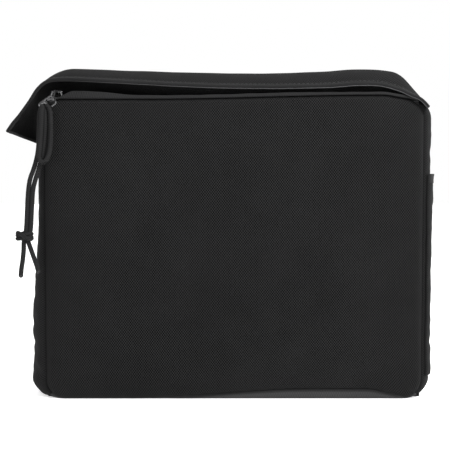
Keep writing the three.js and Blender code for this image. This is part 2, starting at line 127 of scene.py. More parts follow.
def even_line(points, count):
    """count + 1 points spaced evenly along the smooth line through points."""
    fine = [path_point(points, i / 600) for i in range(601)]
    run = [0.0]
    for a, b in zip(fine, fine[1:]):
        run.append(run[-1] + (b - a).length)
    out = []
    k = 0
    for i in range(count + 1):
        want = run[-1] * i / count
        while k < 599 and run[k + 1] < want:
            k += 1
        span = run[k + 1] - run[k]
        out.append(fine[k].lerp(fine[k + 1], (want - run[k]) / span if span else 0))
    return out


# ---------------------------------------------------------------- meshes
def new_object(name, verts, faces, uvs=None):
    mesh = bpy.data.meshes.new(name)
    mesh.from_pydata([tuple(Vector(v) * MM) for v in verts], [], faces)
    mesh.polygons.foreach_set("use_smooth", [True] * len(mesh.polygons))
    if uvs:
        layer = mesh.uv_layers.new(name="cloth")
        for loop in mesh.loops:
            layer.data[loop.index].uv = uvs[loop.vertex_index]
    mesh.update()
    obj = bpy.data.objects.new(name, mesh)
    bpy.context.scene.collection.objects.link(obj)
    return obj


def surface(name, nu, nv, place, thick=CLOTH, flip=False):
    """A cloth sheet. place(u, v) gives its outer face. Its UVs are lengths along the cloth in metres."""
    grid = [[Vector(place(i / nu, j / nv)) for j in range(nv + 1)] for i in range(nu + 1)]
    along = [0.0]
    for i in range(nu):
        along.append(along[-1] + (grid[i + 1][nv // 2] - grid[i][nv // 2]).length)
    across = [0.0]
    for j in range(nv):
        across.append(across[-1] + (grid[nu // 2][j + 1] - grid[nu // 2][j]).length)
    verts = [p for row in grid for p in row]
    uvs = [(along[i] * MM, across[j] * MM) for i in range(nu + 1) for j in range(nv + 1)]
    faces = []
    for i in range(nu):
        for j in range(nv):
            a = i * (nv + 1) + j
            face = (a, a + nv + 1, a + nv + 2, a + 1)
            faces.append(face[::-1] if flip else face)
    obj = new_object(name, verts, faces, uvs)
    solid = obj.modifiers.new("thickness", "SOLIDIFY")
    solid.thickness = thick * MM
    solid.offset = -1
    solid.use_even_offset = True
    return obj


def sweep(name, centres, sides, section):
    """A solid band along a line. section(i, angle) gives the offset of a point of ring i from its centre."""
    verts = []
    for i, centre in enumerate(centres):
        for k in range(sides):
            verts.append(Vector(centre) + section(i, 2 * math.pi * k / sides))
    run = [0.0]
    for a, b in zip(centres, centres[1:]):
        run.append(run[-1] + (Vector(b) - Vector(a)).length)
    uvs = [(run[i] * MM, k * 0.001) for i in range(len(centres)) for k in range(sides)]
    faces = []
    for i in range(len(centres) - 1):
        for k in range(sides):
            m = (k + 1) % sides
            a, b = i * sides, (i + 1) * sides
            faces.append((a + k, a + m, b + m, b + k))
    faces.append(tuple(range(sides))[::-1])
    faces.append(tuple(range((len(centres) - 1) * sides, len(centres) * sides)))
    return new_object(name, verts, faces, uvs)


def stitches(name, points, normals, length=3.0, gap=1.1, radius=0.32):
    """A row of thread stitches laid on a line of points, each a six-sided bead that tapers at its ends."""
    run = [0.0]
    for a, b in zip(points, points[1:]):
        run.append(run[-1] + (b - a).length)

    def at(s):
        lo, hi = 0, len(run) - 1
        while hi - lo > 1:
            half = (lo + hi) // 2
            if run[half] <= s:
                lo = half
            else:
                hi = half
        f = (s - run[lo]) / max(1e-9, run[hi] - run[lo])
        return points[lo].lerp(points[hi], f), normals[lo].lerp(normals[hi], f).normalized()

    verts, faces = [], []
    start = gap
    while start + length < run[-1]:
        rings = []
        for f, scale in ((0, 0.35), (0.15, 0.9), (0.5, 1.1), (0.85, 0.9), (1, 0.35)):
            p, n = at(start + f * length)
            q, _ = at(start + f * length + 0.2)
            way = (q - p).normalized()
            side = way.cross(n).normalized()
            sink = radius * (0.1 if 0 < f < 1 else -0.6)
            ring = []
            for k in range(6):
                angle = math.pi * k / 3
                ring.append(len(verts))
                up = n * (sink + radius * scale * math.sin(angle))
                verts.append(p + up + side * radius * scale * math.cos(angle))
            rings.append(ring)
        for a, b in zip(rings, rings[1:]):
            for k in range(6):
                m = (k + 1) % 6
                faces.append((a[k], a[m], b[m], b[k]))
        faces.append(tuple(rings[0][::-1]))
        faces.append(tuple(rings[-1]))
        start += length + gap
    return new_object(name, verts, faces)


# ---------------------------------------------------------------- materials
FIBRE_TONE = 0.25  # how much the threads' own grain shows in a weave's tone


def shader(name):
    m = bpy.data.materials.new(name)
    m.use_nodes = True
    tree = m.node_tree
    return m, tree, tree.nodes["Principled BSDF"]


def math_node(tree, kind, a, b=None):
    node = tree.nodes.new("ShaderNodeMath")
    node.operation = kind
    for socket, value in zip(node.inputs, (a, b)):
        if value is None:
            continue
        if isinstance(value, (int, float)):
            socket.default_value = value
        else:
            tree.links.new(value, socket)
    return node.outputs[0]


def scaled_node(tree, value, factor, offset):
    out = math_node(tree, "MULTIPLY_ADD", value, factor)
    out.node.inputs[2].default_value = offset
    return out


def swing_node(tree, value, amount):
    """A value from 0 to 1, moved to lie about 0 and scaled by amount."""
    return math_node(tree, "MULTIPLY", math_node(tree, "SUBTRACT", value, 0.5), amount)


def noise_node(tree, scale, detail):
    coords = tree.nodes.new("ShaderNodeTexCoord")
    node = tree.nodes.new("ShaderNodeTexNoise")
    node.inputs["Scale"].default_value = scale
    node.inputs["Detail"].default_value = detail
    tree.links.new(coords.outputs["Object"], node.inputs["Vector"])
    return node.outputs["Fac"]


def bump_node(tree, height, distance, strength, under=None):
    node = tree.nodes.new("ShaderNodeBump")
    node.inputs["Distance"].default_value = distance
    node.inputs["Strength"].default_value = strength
    tree.links.new(height, node.inputs["Height"])
    if under is not None:
        tree.links.new(under, node.inputs["Normal"])
    return node.outputs["Normal"]


def ramp_node(tree, value, dark, light):
    node = tree.nodes.new("ShaderNodeMix")
    node.data_type = "RGBA"
    tree.links.new(value, node.inputs["Factor"])
    node.inputs["A"].default_value = (*dark, 1)
    node.inputs["B"].default_value = (*light, 1)
    return node.outputs["Result"]


def weave(name, dark, light, pitch, lift, rough, sheen, cloud=0.35, use_uv=True, crisp=0.5, shade_ramp=None):
    """Woven cloth. Yarns cross every pitch = (across, up) millimetres and stand proud by lift millimetres.

    Given a rate, the cloth is painted dark where its length starts, as painted shade, and the rate is how
    fast it grows lighter, per metre.
    """
    m, tree, bsdf = shader(name)
    coords = tree.nodes.new("ShaderNodeTexCoord")
    parts = tree.nodes.new("ShaderNodeSeparateXYZ")
    tree.links.new(coords.outputs["UV" if use_uv else "Object"], parts.inputs[0])
    across = parts.outputs["X"]
    up = parts.outputs["Y"] if use_uv else math_node(tree, "ADD", parts.outputs["Y"], parts.outputs["Z"])
    a = math_node(tree, "SINE", math_node(tree, "MULTIPLY", across, math.pi / (pitch[0] * MM)))
    b = math_node(tree, "SINE", math_node(tree, "MULTIPLY", up, math.pi / (pitch[1] * MM)))
    checks = math_node(tree, "MULTIPLY", a, b)
    height = scaled_node(tree, checks, crisp, 0.45)
    height.node.use_clamp = True
    threads = noise_node(tree, 900, 2)
    clouds = noise_node(tree, 14, 3)
    worn = noise_node(tree, 60, 4)
    tone = math_node(tree, "ADD", height, swing_node(tree, threads, FIBRE_TONE))
    shift = swing_node(tree, clouds, cloud)
    shift = math_node(tree, "ADD", shift, swing_node(tree, worn, cloud / 2))
    tone = math_node(tree, "ADD", tone, shift)
    tone.node.use_clamp = True
    # Painted shade: the tone is scaled down towards the start of the cloth's length, so that its first part
    # looks shaded.
    if shade_ramp:
        painted_shade_in = math_node(tree, "SMOOTH_MIN", math_node(tree, "MULTIPLY", across, shade_ramp), 1.0)
        painted_shade_in.node.use_clamp = True
        tone = math_node(tree, "MULTIPLY", tone, painted_shade_in)
    tree.links.new(ramp_node(tree, tone, dark, light), bsdf.inputs["Base Color"])
    tree.links.new(scaled_node(tree, height, -0.12, rough), bsdf.inputs["Roughness"])
    normal = bump_node(tree, height, lift * MM, 1.0)
    normal = bump_node(tree, threads, 0.08 * MM, 0.6, normal)
    tree.links.new(normal, bsdf.inputs["Normal"])
    bsdf.inputs["Specular IOR Level"].default_value = 0.04
    bsdf.inputs["Sheen Weight"].default_value = sheen
    bsdf.inputs["Sheen Roughness"].default_value = 0.45
    return m


def plain(name, dark, light, scale, rough, metallic=0.0, lift=0.05, specular=0.5):
    """A material with fine grain, blotches and uneven roughness."""
    m, tree, bsdf = shader(name)
    grain = noise_node(tree, scale, 4)
    blotch = noise_node(tree, scale / 12, 3)
    tone = math_node(tree, "MULTIPLY", math_node(tree, "ADD", grain, blotch), 0.5)
    tree.links.new(ramp_node(tree, tone, dark, light), bsdf.inputs["Base Color"])
    tree.links.new(scaled_node(tree, blotch, 0.3, rough - 0.15), bsdf.inputs["Roughness"])
    tree.links.new(bump_node(tree, grain, lift * MM, 0.5), bsdf.inputs["Normal"])
    bsdf.inputs["Metallic"].default_value = metallic
    bsdf.inputs["Specular IOR Level"].default_value = specular
    return m


def grey(value):
    """A very slightly blue grey."""
    return (value, value, value * 1.02)


YARNS = (1.15, 1.47)  # half of the shell cloth's repeat, across and up
MATERIALS = {
    "shell_cloth": weave("shell_cloth", grey(0.0), grey(0.0142), YARNS, 0.45, 0.9, 0.02, crisp=1.3),
    "smooth_shell": weave("smooth_shell", grey(0.005), grey(0.019), YARNS, 0.25, 0.9, 0.02, 0.3, crisp=0.3),
    # A lighter copy of the shell cloth for the bottom gusset: painted light, for the light that the floor
    # throws up on it.
    "bottom_shell_painted_light": weave("bottom_shell_painted_light", grey(0.014), grey(0.038), YARNS, 0.2, 0.9, 0.05, 0.3, crisp=0.3),
    # The flap's underside: painted shade, dark at its left end, where the flap's end sits in shade, and a
    # painted light grey further along, where fill light reaches under the flap over the zip.
    "flap_inside_painted_shading": weave("flap_inside_painted_shading", grey(0.001), grey(0.09), (0.3, 0.3), 0.05, 0.85, 0.0, 0.3, shade_ramp=4.0),
    "lining_cloth": weave("lining_cloth", grey(0.001), grey(0.004), (0.3, 0.3), 0.05, 0.85, 0.0, 0.5),
    "binding_tape": weave("binding_tape", grey(0.002), grey(0.017), (0.5, 0.9), 0.15, 0.8, 0.05),
    # The zip tape is black, but its tone here is raised as painted light, for light reaching it in the
    # shaded gap under the flap.
    "zip_tape": weave("zip_tape", grey(0.012), grey(0.05), (0.6, 0.45), 0.12, 0.8, 0.03, 0.3, False),
    "zip_coil": plain("zip_coil", grey(0.004), grey(0.01), 700, 0.45, 0.0, 0.05, 0.25),
    "zip_metal": plain("zip_metal", grey(0.008), grey(0.11), 420, 0.3, 1.0, 0.1),
    "cord_braid": weave("cord_braid", grey(0.0005), grey(0.022), (1.1, 0.9), 0.3, 0.8, 0.02, 0.3, False),
    "foam_padding": plain("foam_padding", grey(0.02), grey(0.04), 1500, 0.95, 0.0, 0.25, 0.2),
    "base_board": plain("base_board", grey(0.012), grey(0.02), 400, 0.6, 0.0, 0.1, 0.4),
}


def finish_piece(obj, slot, body=None, nodes=(), look=None):
    """Gives a piece the material of its slot and its body, and hides the CAD nodes it replaces.

    look names its material, where that isn't the slot's.
    """
    obj.data.materials.append(MATERIALS[look or slot])
    if body:
        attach(obj, body)
    if nodes:
        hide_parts(*nodes)
    return obj


# ---------------------------------------------------------------- the pouch's outline
def bunched(t):
    """t from 0 to 1, with grid lines drawn together near both ends."""
    return (1 - math.cos(math.pi * t)) / 2


def top_rise(x):
    """How far the top seam stands above the CAD's straight one: it climbs to the right and ends low."""
    return 0.4 + 3.8 * smooth(x, -80, 135) - 3.4 * smooth(x, 138, 166)


def bottom_rise(x):
    """How far the front panel's bottom seam is pulled up off the ground right of the middle."""
    return 0.3 + 9.3 * smooth(x, -95, 70) * (1 - smooth(x, 125, 174))


def tuck(x):
    """How far the padding draws the panel's side seams towards the middle."""
    return 1.8 * smooth(-x, 120, 180) - 1.8 * smooth(x, 120, 180)


def panel_point(u, v, lift=True):
    """A point of a round-cornered panel in X and Z: corner squares are drawn in to quarter discs.

    lift moves the seams at the top and the bottom up to where they really run.
    """
    middle = HEIGHT / 2
    x = (2 * u - 1) * HALF
    z = (2 * v - 1) * middle
    dx = abs(x) - (HALF - CORNER)
    dz = abs(z) - (middle - CORNER)
    if dx > 0 and dz > 0:
        shrink = max(dx, dz) / math.hypot(dx, dz)
        x = math.copysign(HALF - CORNER + dx * shrink, x)
        z = math.copysign(middle - CORNER + dz * shrink, z)
    z += middle
    if lift:
        t = z / HEIGHT
        z += top_rise(x) * t**4 + bottom_rise(x) * (1 - t) ** 6
    return x + tuck(x), z


def panel_edge(u, v):
    """Rough distances in millimetres from the panel's sides, and from its top or bottom."""
    return min(u, 1 - u) * 2 * HALF, min(v, 1 - v) * HEIGHT


def front_face(u, v):
    """The front panel: padded out in the middle, grooved and puckered at its seams."""
    x, z = panel_point(u, v)
    ex, ez = panel_edge(u, v)
    edge = min(ex, ez)
    full = (1 - abs(2 * u - 1) ** 3.2) * (1 - abs(2 * v - 1) ** 3.2)
    out = CROWN * full
    # The groove at the bottom seam is narrower than the others.
    from_seam = min(ex, ez * (2.4 if v < 0.5 else 1))
    out += 5.0 * (1 - math.exp(-from_seam / 2.2)) - 4.6
    out += 0.9 * wave(x, 0, z, 95, 3.1) * full
    out += 0.35 * wave(x, 0, z, 38, 7.7) * full
    pucker = math.exp(-ez / 9) * wave(x, 0, 0, 5.5, 1.3) + math.exp(-ex / 9) * wave(0, 0, z, 6.5, 4.4)
    out += 0.7 * pucker * (1 - math.exp(-edge / 2.5))
    return x, FRONT - out, z


front = surface("front_cloth", 190, 150, lambda u, v: front_face(bunched(u), bunched(v)))
finish_piece(front, "shell_cloth", "pouch", ["front_panel"])


TAPE_INSET = 4.2  # from the panel's edge to the middle of the tape
TAPE_HALF_WIDTH = 3.0
TAPE_HALF_THICKNESS = 0.7


def seam_binding(name, node, y):
    """The tape that binds a panel's seam allowance inside the pouch. Its ends meet at the bottom."""
    centres = []
    inwards = []
    middle = Vector((0, y, HEIGHT / 2))
    for i in range(361):
        a = -math.pi / 2 + 2 * math.pi * i / 360
        c, s = math.cos(a), math.sin(a)
        reach = 0.5 / max(abs(c), abs(s))
        x, z = panel_point(0.5 + c * reach, 0.5 + s * reach, s < 0)
        p = Vector((x, y, z))
        sideways = -math.copysign(1, x) * smooth(abs(x), 140, 176)
        inward = Vector((sideways, 0, (middle.z - z) / middle.z)).normalized()
        centres.append(p + inward * TAPE_INSET)
        inwards.append(inward)

    def section(i, angle):
        across = inwards[i] * TAPE_HALF_WIDTH * math.cos(angle)
        return across + Vector((0, TAPE_HALF_THICKNESS, 0)) * math.sin(angle)

    finish_piece(sweep(name, centres, 8, section), "binding_tape", "pouch", [node])


seam_binding("front_seam_binding", "front_seam_tape", FRONT + 6.2)

# Painted shadow: a thin dark strip in the binding tape's cloth along the bottom seam, where the panel is
# pulled up off the ground, standing for the shade in the seam's groove.
SEAM_SHADOW_STEPS = 120
seam_shadow_line = []
for i in range(SEAM_SHADOW_STEPS + 1):
    x, z = panel_point(mix(0.33, 0.94, i / SEAM_SHADOW_STEPS), 0)
    seam_shadow_line.append(Vector((x, FRONT + 1.4, z - 0.7)))


def seam_shadow_section(i, angle):
    """A flat oval that tapers at both ends of the band."""
    full = min(1, (i + 1) / 12, (SEAM_SHADOW_STEPS + 1 - i) / 12)
    return Vector((0, 1.2 * math.cos(angle), 0.7 * math.sin(angle))) * full


finish_piece(sweep("bottom_seam_tape_edge", seam_shadow_line, 8, seam_shadow_section), "binding_tape", "pouch")


def back_face(u, v):
    x, z = panel_point(u, v, False)
    ex, ez = panel_edge(u, v)
    edge = min(ex, ez)
    pucker = math.exp(-ez / 8) * wave(x, 0, 0, 6, 2.3) + math.exp(-ex / 8) * wave(0, 0, z, 6, 5.4)
    out = 1.6 * (1 - math.exp(-edge / 2.2)) - 0.4 + 0.3 * pucker
    out += 0.25 * wave(x, 4, z, 60, 8.1)
    return x, BACK + out, z + 0.5


rear = surface("back_cloth", 120, 96, lambda u, v: back_face(bunched(u), bunched(v)), flip=True)
finish_piece(rear, "shell_cloth", "pouch", ["back_panel"])

# The line that the gussets follow round the pouch starts at the middle of the top left corner, runs down,
# along the bottom, and up to the middle of the top right corner.
HALF_ARC = math.pi / 4 * CORNER
SIDE = HEIGHT - 2 * CORNER
BOTTOM = 2 * (HALF - CORNER)
ROUND = 4 * HALF_ARC + 2 * SIDE + BOTTOM + 2 * HALF_ARC


def corner_point(cx, cz, angle):
    return cx + CORNER * math.cos(angle), cz + CORNER * math.sin(angle), math.cos(angle), math.sin(angle)


def round_point(a):
    """Position and outward direction in X and Z at a millimetres along the gussets' line."""
    inner = HALF - CORNER
    if a < HALF_ARC:
        return corner_point(-inner, HEIGHT - CORNER, math.pi * 0.75 + a / CORNER)
    a -= HALF_ARC
    if a < SIDE:
        return -HALF, HEIGHT - CORNER - a, -1.0, 0.0
    a -= SIDE
    if a < 2 * HALF_ARC:
        return corner_point(-inner, CORNER, math.pi + a / CORNER)
    a -= 2 * HALF_ARC
    if a < BOTTOM:
        return -inner + a, 0.0, 0.0, -1.0
    a -= BOTTOM
    if a < 2 * HALF_ARC:
        return corner_point(inner, CORNER, -math.pi / 2 + a / CORNER)
    a -= 2 * HALF_ARC
    if a < SIDE:
        return HALF, CORNER + a, 1.0, 0.0
    return corner_point(inner, HEIGHT - CORNER, (a - SIDE) / CORNER)


def belly(w):
    """How full a gusset is between its front seam at 0 and its back seam at 1."""
    return (1 - abs(2 * w - 1) ** 2.6) ** 0.75


def side_swell(x, z):
    """How far a side gusset stands out past its seams at a height."""
    if x < 0:
        return 9.5 + 6.5 * (1 - smooth(z, 60, 190)) - 3 * smooth(z, 225, 284)
    return 9.5 + 1.5 * smooth(z, 190, 262)


def gusset_face(a, w):
    """A gusset's cloth at a millimetres along its line. w is 0 at its front seam and 1 at its back seam."""
    x, z, nx, nz = round_point(a)
    wrinkle = 0.0
    if abs(nx) > 0.01:
        low = 1 - smooth(z, 10, 120)
        strength = (1.0 + 2.2 * low) if x < 0 else (0.8 + 0.8 * low)
        wrinkle = strength * wave(0.6 * z, 38 * w, z, 15, 2.2 if x < 0 else 5.9)
        wrinkle += 0.5 * strength * wave(z, 60 * w, 0, 7, 9.1)
    out = side_swell(x, z) * abs(nx) ** 1.5 * belly(w) + wrinkle * belly(w) ** 0.5 * abs(nx)
    out -= 1.2 * math.exp(-min(w, 1 - w) * DEPTH / 1.6)
    t = z / HEIGHT
    lift = (top_rise(x) * t**4 + bottom_rise(x) * (1 - t) ** 6) * math.exp(-((w * DEPTH / 0.85) ** 4))
    px = x + out * nx + tuck(x) * (1 - w) ** 2
    pz = max(0.15, z + out * nz + lift)
    deep = mix(4.0, 4.4, abs(nx)) * math.exp(-w * DEPTH / mix(0.35, 1.8, abs(nx)))
    return px, FRONT + 0.4 + w * (BACK - FRONT - 0.8) + deep, pz


def gusset(name, start, end, count, node):
    """One stretch of the gussets' line, made as a cloth sheet with count columns."""
    made = surface(name, count, 36, lambda u, v: gusset_face(mix(start, end, u), bunched(v)), flip=True)
    # The bottom gusset takes the lighter copy of the shell cloth, as painted light from the floor.
    finish_piece(made, "shell_cloth", "pouch", [node], "bottom_shell_painted_light" if node == "bottom_gusset" else None)


LEFT_END = 2 * HALF_ARC + SIDE
RIGHT_START = LEFT_END + 2 * HALF_ARC + BOTTOM
gusset("left_side_cloth", 0, LEFT_END, 140, "left_gusset")
gusset("bottom_cloth", LEFT_END, RIGHT_START, 150, "bottom_gusset")
gusset("right_side_cloth", RIGHT_START, ROUND, 140, "right_gusset")


# ---------------------------------------------------------------- zip facing
def facing_height(x):
    """How much of the folded facing stands above the top seam."""
    tall = 2.7 + 4.1 * (1 - smooth(x, -140, -85)) - 0.5 * smooth(x, 60, 120)
    return tall * smooth(x, -168, -150) * (1 - 0.45 * smooth(x, 155, 172)) + 0.4


def top_seam(x):
    """Height of the front panel's top edge."""
    over = max(0.0, abs(x) - (HALF - CORNER))
    return HEIGHT - CORNER + math.sqrt(max(0.0, CORNER**2 - over**2)) + top_rise(x)


def facing_face(u, v):
    """The facing's cloth, which rises from the top seam and is turned over towards the zip."""
    x = mix(-167, 172, u)
    seam = top_seam(x)
    tall = facing_height(x)
    turn = v * math.pi * 1.28
    y = FRONT - 0.2 + 3.0 * (1 - math.cos(turn)) - 1.7 * math.sin(turn) ** 2 * (turn < math.pi / 2)
    if turn > math.pi / 2:
        z = seam - 0.5 + tall * (1 - 0.8 * (1 - math.sin(turn)))
    else:
        z = seam - 0.5 + tall * math.sin(turn) ** 0.8
    z += 0.35 * wave(x, 0, 0, 14, 6.6) * math.sin(min(turn, math.pi / 2))
    return x, y + 0.25 * wave(x, 0, 0, 9, 2.6), z


facing = surface("zip_facing_cloth", 180, 16, facing_face, 1.0)
finish_piece(facing, "shell_cloth", "pouch", ["zip_facing"], "smooth_shell")


COIL_PITCH = 1.5


def coil(name, node):
    """The nylon loops of one half of the zip: a bar across for each turn."""
    low, high = edges_mm(node)
    middle = (low + high) / 2
    # Where each ring of a loop stands across the zip, and its share of the full thickness.
    across = (
        (low.y + 0.1, 0.55),
        (low.y + 0.6, 0.95),
        (middle.y, 1),
        (high.y - 0.6, 0.95),
        (high.y - 0.1, 0.55),
    )
    verts, faces = [], []
    count = int((high.x - low.x) / COIL_PITCH)
    for i in range(count):
        x = low.x + (i + 0.5) * COIL_PITCH
        rings = []
        for y, scale in across:
            ring = []
            for k in range(8):
                angle = math.pi * k / 4
                ring.append(len(verts))
                sideways = 0.58 * scale * math.cos(angle)
                verts.append((x + sideways, y, middle.z + 1.2 * scale * math.sin(angle)))
            rings.append(ring)
        for a, b in zip(rings, rings[1:]):
            for k in range(8):
                m = (k + 1) % 8
                faces.append((a[k], b[k], b[m], a[m]))
        faces.append(tuple(rings[0]))
        faces.append(tuple(rings[-1][::-1]))
    return new_object(name, verts, faces)


finish_piece(coil("front_coil_loops", "zip_coil_front"), "zip_coil", "pouch", ["zip_coil_front"])
finish_piece(coil("rear_coil_loops", "zip_coil_rear"), "zip_coil", "lid", ["zip_coil_rear"])

# ---------------------------------------------------------------- lid
lid_low, lid_high = edges_mm("lid_panel")


def lid_face(u, v):
    x = mix(lid_low.x, lid_high.x, u)
    y = mix(lid_low.y, lid_high.y, v)
    z = mix(lid_low.z + CLOTH, lid_high.z, math.sin(v * math.pi / 2))
    z += 0.35 * wave(x, y, 0, 22, 3.3) * math.sin(math.pi * v)
    return x, y, z


lid = surface("lid_cloth", 120, 26, lid_face)
finish_piece(lid, "shell_cloth", "lid", ["lid_panel"])


FOLD_Y = 34  # the line that the fold turns about


def fold_face(u, v):
    """The cloth that runs on from the back panel over the lid's fold."""
    x = mix(-HALF + CORNER - 2, HALF - CORNER + 2, u)
    turn = v * math.pi / 2
    y = FOLD_Y + 6.0 * math.cos(turn) + (-8 * (v - 0.7) if v > 0.7 else 0)
    z = HEIGHT - 3.5 + 8.0 * math.sin(turn) + 0.2 * wave(x, 0, 0, 12, 4.1)
    return x, y, z


fold = surface("lid_fold_cloth", 100, 14, fold_face, 1.0)
finish_piece(fold, "shell_cloth")
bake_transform(fold)

# ---------------------------------------------------------------- storm flap
SEAM_LINE = [
    (-193, 31, 243),
    (-193, 33, 258),
    (-191, 35, 272),
    (-185, 36.2, 283),
    (-174, 37, 289),
    (-158, 37, 290),
    (-80, 37, 289.2),
    (0, 37, 289),
    (80, 37, 289.2),
    (150, 37, 289.4),
    (172, 36, 287.5),
    (180, 34, 282.5),
    (183.5, 33, 275),
]
HEM_LINE = [
    (-213.5, -31, 254),
    (-208, -34, 260.8),
    (-200.6, -36.5, 268.6),
    (-191.4, -38, 280.4),
    (-183, -38, 293),
    (-172, -38, 300),
    (-150, -38, 301),
    (-100, -38, 298.6),
    (-40, -38, 295.4),
    (30, -38, 294),
    (85, -38, 294.8),
    (115, -38, 296.8),
    (137, -38, 296.2),
    (154, -38.6, 291.6),
    (164, -40.6, 287),
    (173.8, -42, 282.6),
    (181.2, -41.5, 275.6),
]
FINE = 400  # steps along each of the two lines
seam_points = even_line(SEAM_LINE, FINE)
hem_points = even_line(HEM_LINE, FINE)
FLAP_RISE = 17  # how far the middle of the flap arches above a straight run from seam to hem


def flap_base(u, v, lift=0.0):
    """The arch from the flap's seam at v = 0 to its hem at v = 1, raised by lift millimetres."""
    t = (0.6 * u + 0.4 * bunched(u)) * FINE
    k = min(FINE - 1, int(t))
    seam = seam_points[k].lerp(seam_points[k + 1], t - k)
    hem = hem_points[k].lerp(hem_points[k + 1], t - k)
    point = seam.lerp(hem, v)
    away = Vector((point.x - min(150, max(-150, point.x)), 0, point.z - 240)).normalized()
    along = 0.45 * u + 0.55 * bunched(u)
    middle = smooth(along, 0.07, 0.175) * (1 - smooth(along, 0.925, 0.99))
    rise = 0.8 + 2.4 * smooth(along, 0.6, 0.9) + FLAP_RISE * middle
    return point + away * (rise * math.sin(math.pi * min(1, max(0, v))) + lift)


def flap_face(u, v, lift=0.0):
    """The flap's cloth, with ripples and the groove that its hem stitches pull in."""
    p = flap_base(u, v, lift + CLOTH)
    near = math.exp(-(1 - v) * 8)
    groove = -0.9 * math.exp(-(((v - 0.925) / 0.016) ** 2))
    ripple = groove + 0.5 * wave(p.x, p.y, p.z, 30, 1.9) + 0.35 * near * wave(p.x, 0, p.z, 8, 3.7)
    ripple *= math.sin(math.pi * min(1, v + 0.04)) ** 0.5 if v < 0.96 else 0.35
    return p + Vector((0, -0.3, 1)).normalized() * ripple


flap = surface("flap_cloth", 220, 40, flap_face, 1.2, flip=True)
finish_piece(flap, "shell_cloth", "storm_flap", ["flap_shell"])

# The flap's lining wears the underside cloth, with painted shade at its left end and painted light further
# along.
inner = surface("flap_lining_cloth", 160, 30, lambda u, v: flap_face(u, v, -1.9), 0.6, flip=True)
finish_piece(inner, "lining_cloth", "storm_flap", ["flap_lining"], "flap_inside_painted_shading")


def flap_rim():
    """The flap's free edge and a short way back along its seam at both ends.

    Each point comes with the way in along the cloth and the way out of it.
    """
    stops = [(u / 20 * 0.13, 0.0) for u in range(20, 0, -1)]
    stops += [(0.0, v / 24) for v in range(24)]
    stops += [(u / 260, 1.0) for u in range(260)]
    stops += [(1.0, 1 - v / 24) for v in range(24)]
    stops += [(1 - u / 16 * 0.1, 0.0) for u in range(17)]
    rim = []
    for u, v in stops:
        p = Vector(flap_face(u, v))
        middle = Vector(flap_face(min(0.97, max(0.03, u)), min(0.92, max(0.08, v))))
        a = Vector(flap_face(min(1, u + 0.004), v)) - Vector(flap_face(max(0, u - 0.004), v))
        b = Vector(flap_face(u, min(1, v + 0.02))) - Vector(flap_face(u, max(0, v - 0.02)))
        out = b.cross(a).normalized()
        if out.z < -0.2 or out.x * p.x < -20:
            out = -out
        inward = middle - p
        inward = (inward - out * inward.dot(out)).normalized()
        rim.append((p, inward, out))
    return rim


rim = flap_rim()
rim_centres = [p + inward * 1.3 - out * 0.9 for p, inward, out in rim]


def rim_section(i, angle):
    _, inward, out = rim[i]
    c, s = math.cos(angle), math.sin(angle)
    return inward * 1.9 * math.copysign(abs(c) ** 0.7, c) + out * 1.55 * math.copysign(abs(s) ** 0.8, s)


binding = sweep("flap_edge_binding", rim_centres, 12, rim_section)
finish_piece(binding, "binding_tape", "storm_flap", ["flap_binding"])

FLAP_LEFT = -193  # the flap's seam at its left end
FLAP_SPAN = 377  # and how far it is from there to its right end


def root_face(u, v):
    """The strip of the flap that is sewn down on the lid's fold."""
    x = mix(-HALF + CORNER - 6, HALF - CORNER + 4, u)
    seam = flap_face((x - FLAP_LEFT) / FLAP_SPAN, 0.0)
    y = mix(39.2, seam.y + 0.4, v) + 0.8 * math.sin(math.pi * v)
    z = mix(HEIGHT + 0.5, seam.z + 0.2, v)
    return x, y, z + 0.15 * wave(x, 0, 0, 11, 5.1)


root = surface("flap_root_cloth", 110, 8, root_face, 0.9, flip=True)
finish_piece(root, "shell_cloth")
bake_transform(root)

hem_row = []
hem_normals = []
for i in range(301):
    u = 0.02 + 0.96 * i / 300
    p = Vector(flap_face(u, 0.955))
    a = Vector(flap_face(u + 0.004, 0.955)) - Vector(flap_face(u - 0.004, 0.955))
    b = Vector(flap_face(u, 0.975)) - Vector(flap_face(u, 0.935))
    n = a.cross(b).normalized()
    n = n if n.z > 0 else -n
    hem_row.append(p + n * 0.1)
    hem_normals.append(n)
hem_stitches = stitches("flap_hem_stitches", hem_row, hem_normals)
finish_piece(hem_stitches, "binding_tape", "storm_flap", look="zip_coil")

# ---------------------------------------------------------------- stitches on the front panel
FORWARD = Vector((0, -1, 0))
STITCHES_BELOW_SEAM = 4.2
top_row = []
for i in range(241):
    u = 0.055 + 0.885 * i / 240
    v = 1 - STITCHES_BELOW_SEAM / HEIGHT
    top_row.append(Vector(front_face(u, v)) + FORWARD * 0.05)
finish_piece(stitches("top_seam_stitches", top_row, [FORWARD] * len(top_row)), "binding_tape", "pouch")

# ---------------------------------------------------------------- side pocket
pocket_low, pocket_high = edges_mm("side_pocket")


def pocket_face(u, v, extra=0.0):
    """The side pocket lies on the right gusset and stands a little further off it towards its mouth."""
    z = mix(pocket_low.z, pocket_high.z, u)
    w = mix(0.03, 0.97, v)
    x, y, _ = gusset_face(RIGHT_START + HALF_ARC + z - CORNER, w)
    away = 1.2 + extra + 1.2 * smooth(z, 60, pocket_high.z) * belly(w)
    away += 0.4 * wave(0, 60 * w, z, 26, 7.3) * belly(w)
    return x + away, y, z


pocket = surface("pocket_cloth", 90, 30, pocket_face)
finish_piece(pocket, "shell_cloth", "pouch", ["side_pocket"])
hem_from = 1 - 8 / (pocket_high.z - pocket_low.z)


def pocket_hem_face(u, v):
    return pocket_face(mix(hem_from, 1.004, u), v, 0.9)


pocket_hem = surface("pocket_hem_cloth", 6, 30, pocket_hem_face, 0.9)
finish_piece(pocket_hem, "binding_tape", "pouch", ["side_pocket_hem"])

# ---------------------------------------------------------------- inside: linings and pads
X, Y, Z = range(3)
